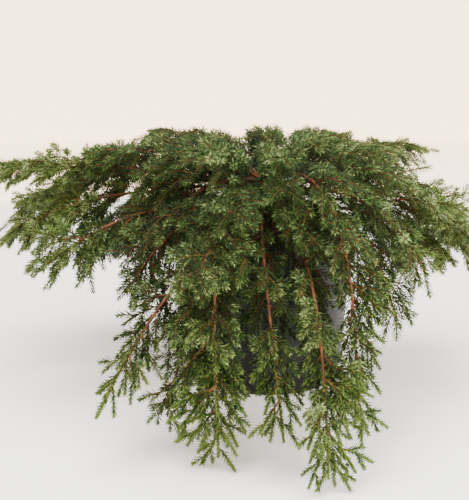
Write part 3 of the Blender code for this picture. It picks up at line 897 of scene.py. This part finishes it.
def youth_and_painted_light(stem, point, rng):
    """From 0 for old growth inside the crown, darkened further as painted shade, to 1 for young
    growth at its ends, with painted light on the crown's top and sides.
    """
    # Painted light and shade: sides and right stretched further out, front pulled in.
    aside = LIT_SIDE_STRETCH * (point.x - SHADED_MIDDLE_X)
    far = FAR_YOUTH * (hypot(aside, SHADED_FRONT_SQUEEZE * point.y) / CROWN_SPREAD) ** 2
    low = LOW_YOUTH * toward_floor(point)
    # Painted light: lighter tones on the top of the crown.
    high = PAINTED_TOP_LIGHT * min(1.0, max(0.0, (point.z - LIT_ABOVE) / LIT_FADE))
    outer = min(1.0, far + low + high)
    # Painted shade: growth set deeper in the crown than its stem gets darker tones.
    shade = SHADE * min(max(depth_inside(stem, point) / SHADE_DEPTH, 0.0), DEEPEST_SHADE)
    return CHANCE_YOUTH * rng.random() + OUTER_YOUTH_AND_LIGHT * outer - shade * (1.0 - OUTER_LIGHT * outer)


def side_shoots(name, stem, route, rng, start, spacing, turns, reach):
    """Shoots along a stem or twig in turn round it, where the mass's own space holds them.

    Near the fork, and on the covered part of the stem, some of them lie over the bare wood.
    """
    found = []
    distance = start
    number = rng.randrange(4)
    while distance < route.length - LAST_SHOOT:
        along = distance / route.length
        length = reach * (1.0 - REACH_LOSS * along ** 2) * rng.uniform(*REACH_PLAY)
        around = turns[number % len(turns)] + rng.uniform(-TURN_PLAY, TURN_PLAY)
        angle = SHOOT_ANGLE + rng.uniform(-ANGLE_PLAY, ANGLE_PLAY)
        if route is stem and distance < FORK_COVER:
            around = (FORK_TURNS[0] * around, 180.0 + FORK_TURNS[1] * around)[number % 2]
            angle += FORK_ANGLE
        elif route is stem and along < COVERED:
            over = COVER_TURN * around
            around = (over, 180.0 + over, around)[number % 3]
            angle -= LAID * (number % 3 == 0)
        sag = SHOOT_RISE if abs(around) < RISING_WITHIN else SHOOT_DROOP
        for shrink in SHOOT_SHRINKS:
            shoot = side_route(
                route, distance, length * shrink, around, angle, sag, SHOOT_PIECES, SHOOT_SWEEP,
            )
            if space.holds(name, shoot.points[-1]) and space.holds(name, shoot.points[3]):
                found.append(shoot)
                break
        number += 1
        place = route.at(distance)
        wider = 1.0 + EDGE_SPACING * toward_edge(place) + LOW_SPACING * toward_floor(place)
        distance += spacing * wider * rng.uniform(*SPACING_PLAY)
    return found


def sprigs_on(name, shoot, rng):
    """Short sprigs left and right of a shoot in turn, where the mass's own space holds them."""
    found = []
    distance = SPRIGS_START * shoot.length
    side = rng.choice((1, -1))
    while distance < SPRIGS_END * shoot.length:
        around = side * SPRIG_TURN + rng.uniform(-2 * TURN_PLAY, 2 * TURN_PLAY)
        length = SPRIG_LENGTH * rng.uniform(*SPRIG_LENGTH_PLAY)
        sprig = side_route(
            shoot, distance, length, around, SHOOT_ANGLE, SHOOT_RISE, SPRIG_PIECES, SHOOT_SWEEP,
        )
        if space.holds(name, sprig.points[-1]):
            found.append(sprig)
        side = -side
        distance += SPRIG_SPACING * rng.uniform(*SPACING_PLAY)
    return found


shoots = []
skin = Tubes()
for name, stem in stems.items():
    rng = random.Random(f"{SEED} green {name}")
    bearing = DOME_BEARING if name in DOME else STEM_BEARING
    youth = youth_and_painted_light(stem, stem.at(STEM_YOUTH_PLACE * stem.length), rng)
    shoots.append(Shoot(stem, bearing, youth))
    spread = SPREADS.get(name, 1.0)
    density = DOME_DENSITY if name in DOME else spread ** SPREAD_DENSITY
    grown = side_shoots(
        name, stem, stem, rng, FIRST_STEM_SHOOT, density * STEM_SHOOT_SPACING, STEM_SHOOT_TURNS,
        STEM_SHOOT_REACH * (0.5 + 0.5 * spread),
    )
    for twig in twigs[name]:
        bearing = SHORT_TWIG_BEARING if twig.length < LONG_TWIG else LONG_TWIG_BEARING
        youth = youth_and_painted_light(stem, twig.at(YOUTH_PLACE * twig.length), rng)
        shoots.append(Shoot(twig, bearing, youth))
        twig_share = SHORT_TWIG_REACH + LONG_TWIG_REACH * min(1.0, twig.length / TWIG_LENGTH)
        grown += side_shoots(
            name, stem, twig, rng, FIRST_SHOOT, density * SHOOT_SPACING, SHOOT_TURNS,
            SHOOT_REACH * twig_share,
        )
    for shoot in grown:
        youth = youth_and_painted_light(stem, shoot.at(YOUTH_PLACE * shoot.length), rng)
        shoots.append(Shoot(shoot, 0.0, youth))
        path = shoot.part(0.0, shoot.length, SHOOT_RINGS - 1)
        skin.add(path, np.linspace(SHOOT_RADIUS, SHOOT_TIP_RADIUS, SHOOT_RINGS), SHOOT_SIDES)
        out = hypot(shoot.points[0].x, shoot.points[0].y)
        if shoot.length < SPRIG_BEARER or out < SPRIG_REGION:
            continue
        for sprig in sprigs_on(name, shoot, rng):
            shoots.append(Shoot(sprig, 0.0, youth))
            ends = sprig.part(0.0, sprig.length, 1)
            skin.add(ends, (SPRIG_RADIUS, SHOOT_TIP_RADIUS), SPRIG_SIDES)

shoot_skin, shoot_tree, shoot_shader = plain_finish(
    "brown_shoot_skin", (0.080, 0.040, 0.008), 0.6, 0.15,
)
vary_colour(shoot_tree, shoot_shader, 90.0, (0.045, 0.028, 0.005), (0.110, 0.052, 0.012))
plant_piece(skin.mesh("green_shoots"), [shoot_skin], foliage_nodes)


# Needles
# Stiff awl-shaped needles in whorls of three on the shoots, about 10 mm long in the crown
# and 5 mm at the hanging ends, keeled below and with a waxy pale band above. Those near the
# heart of the crown are painted dark as shade, young ones at the ends are yellow-green, and
# the tones also carry painted light on the crown's top and sides.

NEEDLE_LENGTH = 0.0096
CROWN_LENGTH = 1.05
EDGE_LENGTH_LOSS = 0.42
TIP_LENGTH_LOSS = 0.35
LENGTH_PLAY = (0.8, 1.12)
NEEDLE_WIDTH = 0.00105
EDGE_WIDTH_GAIN = 0.68
WHORL_SPACING = 0.0020
EDGE_SPACING_LOSS = 0.30
WHORL_CROWDING = 0.8
WHORL_PLAY = 0.2
LEAST_WHORLS = 3
NEEDLE_LEANS = (58.0, 40.0)
LEAN_POWER = 1.5
LEAN_PLAY = 4.5
EDGE_LEAN_LOSS = 0.30
HANGING_BELOW = 0.15
STANDING_RIPENESS = 0.55
HANGING_RIPENESS = 0.45
KEEL = 0.35
WIDEST = 0.50
# Needles within this reach of the crown's heart get the darkest tone, as painted shade.
SHADED_INNER_REACH = 0.105
TIP_TONE = 0.3
SHOOT_TONE = 0.7
TONE_PLAY = 0.14
TONE_MOTTLE = 55.0
TONE_STEPS = (0.15, 0.48, 0.67)
BOX_MARGIN = 0.004
POT_MARGIN = 0.001
FLOOR_MARGIN = 0.0005
MOST_NEEDLES = 45000

Needles = namedtuple("Needles", "foot heading upper length width tone")


def needles_on(shoot, rng):
    """Whorls of three needles along a shoot, each turned half a step from the last."""
    route = shoot.route
    end = route.points[-1]
    hanging = max(0.0, 1.0 - end.z / HANGING_BELOW)
    ripe = (STANDING_RIPENESS + HANGING_RIPENESS * hanging) * toward_edge(end)
    spacing = WHORL_SPACING * (1.0 - EDGE_SPACING_LOSS * ripe)
    count = max(LEAST_WHORLS, int(route.length * (1.0 - shoot.bearing) / spacing))
    along = ((np.arange(count) + 0.9) / count).clip(0.0, 1.0) ** WHORL_CROWDING
    places = route.length * (shoot.bearing + (1.0 - shoot.bearing) * along)
    middle = np.array([route.at(distance) for distance in places])
    forward = np.array([route.forward(distance) for distance in places])
    across = np.cross(forward, (0.3, 0.5, 0.81))
    across /= np.linalg.norm(across, axis=1)[:, None]
    above = np.cross(forward, across)
    turn = radians(60.0) * np.arange(count)[:, None] + radians(120.0) * np.arange(3)[None, :]
    turn = turn + rng.uniform(-WHORL_PLAY, WHORL_PLAY, turn.shape)
    out = across[:, None] * np.cos(turn)[:, :, None] + above[:, None] * np.sin(turn)[:, :, None]
    lean = NEEDLE_LEANS[0] + (NEEDLE_LEANS[1] - NEEDLE_LEANS[0]) * along ** LEAN_POWER
    lean = lean * (1.0 - EDGE_LEAN_LOSS * ripe)
    lean = np.radians(lean[:, None] + rng.normal(0.0, LEAN_PLAY, turn.shape))[:, :, None]
    ahead = np.repeat(forward[:, None], 3, axis=1)
    heading = ahead * np.cos(lean) + out * np.sin(lean)
    upper = ahead - heading * np.cos(lean)
    upper /= np.linalg.norm(upper, axis=2)[:, :, None]
    length = NEEDLE_LENGTH * (CROWN_LENGTH - EDGE_LENGTH_LOSS * ripe)
    length = length * (1.0 - TIP_LENGTH_LOSS * along[:, None] ** 4)
    length = length * rng.uniform(*LENGTH_PLAY, turn.shape)
    width = np.full(length.size, NEEDLE_WIDTH * (1.0 + EDGE_WIDTH_GAIN * ripe))
    fresh = TIP_TONE * along[:, None] + SHOOT_TONE * shoot.youth
    tone = np.digitize(fresh + rng.normal(0.0, TONE_PLAY, turn.shape), TONE_STEPS)
    # Painted shade: needles near the crown's heart take the darkest tone.
    shaded_inner = np.linalg.norm(middle - np.array(CROWN_HEART), axis=1) < SHADED_INNER_REACH
    return Needles(
        np.repeat(middle[:, None], 3, axis=1).reshape(-1, 3), heading.reshape(-1, 3),
        upper.reshape(-1, 3), length.ravel(), width, np.where(shaded_inner[:, None], 0, tone).ravel(),
    )


rng = np.random.default_rng(SEED)
grown = [needles_on(shoot, rng) for shoot in shoots]
needles = Needles(*(np.concatenate(column) for column in zip(*grown)))
tips = needles.foot + needles.heading * needles.length[:, None]
out = np.hypot(tips[:, 0], tips[:, 1])
low = np.array(cad_low) - BOX_MARGIN
high = np.array(cad_high) + BOX_MARGIN
clear = (tips > low).all(axis=1) & (tips < high).all(axis=1) & (tips[:, 2] > FLOOR_MARGIN)
clear &= ~((out < RIM_RADIUS + POT_MARGIN) & (tips[:, 2] < POT_HEIGHT + POT_MARGIN))

AWL = np.array([[0, 1, 2], [3, 2, 1], [0, 3, 1], [0, 2, 3]])
AWL_BANDS = np.array([1, 1, 0, 0], dtype=np.int32)


def needle_mesh(name, chosen):
    """Awl-shaped needles of four triangles, the first two of them the upper face."""
    foot = needles.foot[chosen]
    heading = needles.heading[chosen]
    upper = needles.upper[chosen]
    length = needles.length[chosen][:, None]
    width = needles.width[chosen][:, None]
    side = np.cross(heading, upper) * 0.5 * width
    wide = foot + heading * length * WIDEST + upper * KEEL * width
    corners = np.stack([foot, wide + side, wide - side, foot + heading * length], axis=1)
    faces = AWL[None] + 4 * np.arange(len(foot))[:, None, None]
    mesh = mesh_of_triangles(name, corners.reshape(-1, 3), faces.reshape(-1, 3))
    mesh.polygons.foreach_set("material_index", np.tile(AWL_BANDS, len(foot)))
    return mesh


def needle_finish(name, colour, roughness, play):
    """A dull green that varies a little from place to place, by its play to either side."""
    finish, tree, shader = plain_finish(name, colour, roughness, 0.2)
    darker = tuple((1.0 - play) * channel for channel in colour)
    lighter = tuple((1.0 + play) * channel for channel in colour)
    vary_colour(tree, shader, TONE_MOTTLE, darker, lighter, 3.0)
    return finish


# The first tone is the dark painted shade for needles near the crown's heart.
TONES = {
    "shaded_inner": ((0.001, 0.005, 0.001), (0.006, 0.013, 0.002)),
    "mid": ((0.004, 0.014, 0.001), (0.017, 0.038, 0.005)),
    "light": ((0.021, 0.054, 0.004), (0.053, 0.093, 0.021)),
    "young": ((0.086, 0.138, 0.020), (0.152, 0.198, 0.066)),
}
for number, (tone, (skin_colour, band_colour)) in enumerate(TONES.items()):
    needle_skin = needle_finish(f"{tone}_needle_skin", skin_colour, 0.5, 0.22)
    waxy_band = needle_finish(f"{tone}_waxy_band", band_colour, 0.6, 0.15)
    chosen = np.flatnonzero(clear & (needles.tone == number))
    pieces = -(-len(chosen) // MOST_NEEDLES)
    for piece, share in enumerate(np.array_split(chosen, pieces), 1):
        mesh = needle_mesh(f"{tone}_needles_{piece}", share)
        plant_piece(mesh, [needle_skin, waxy_band], foliage_nodes, smooth=False)
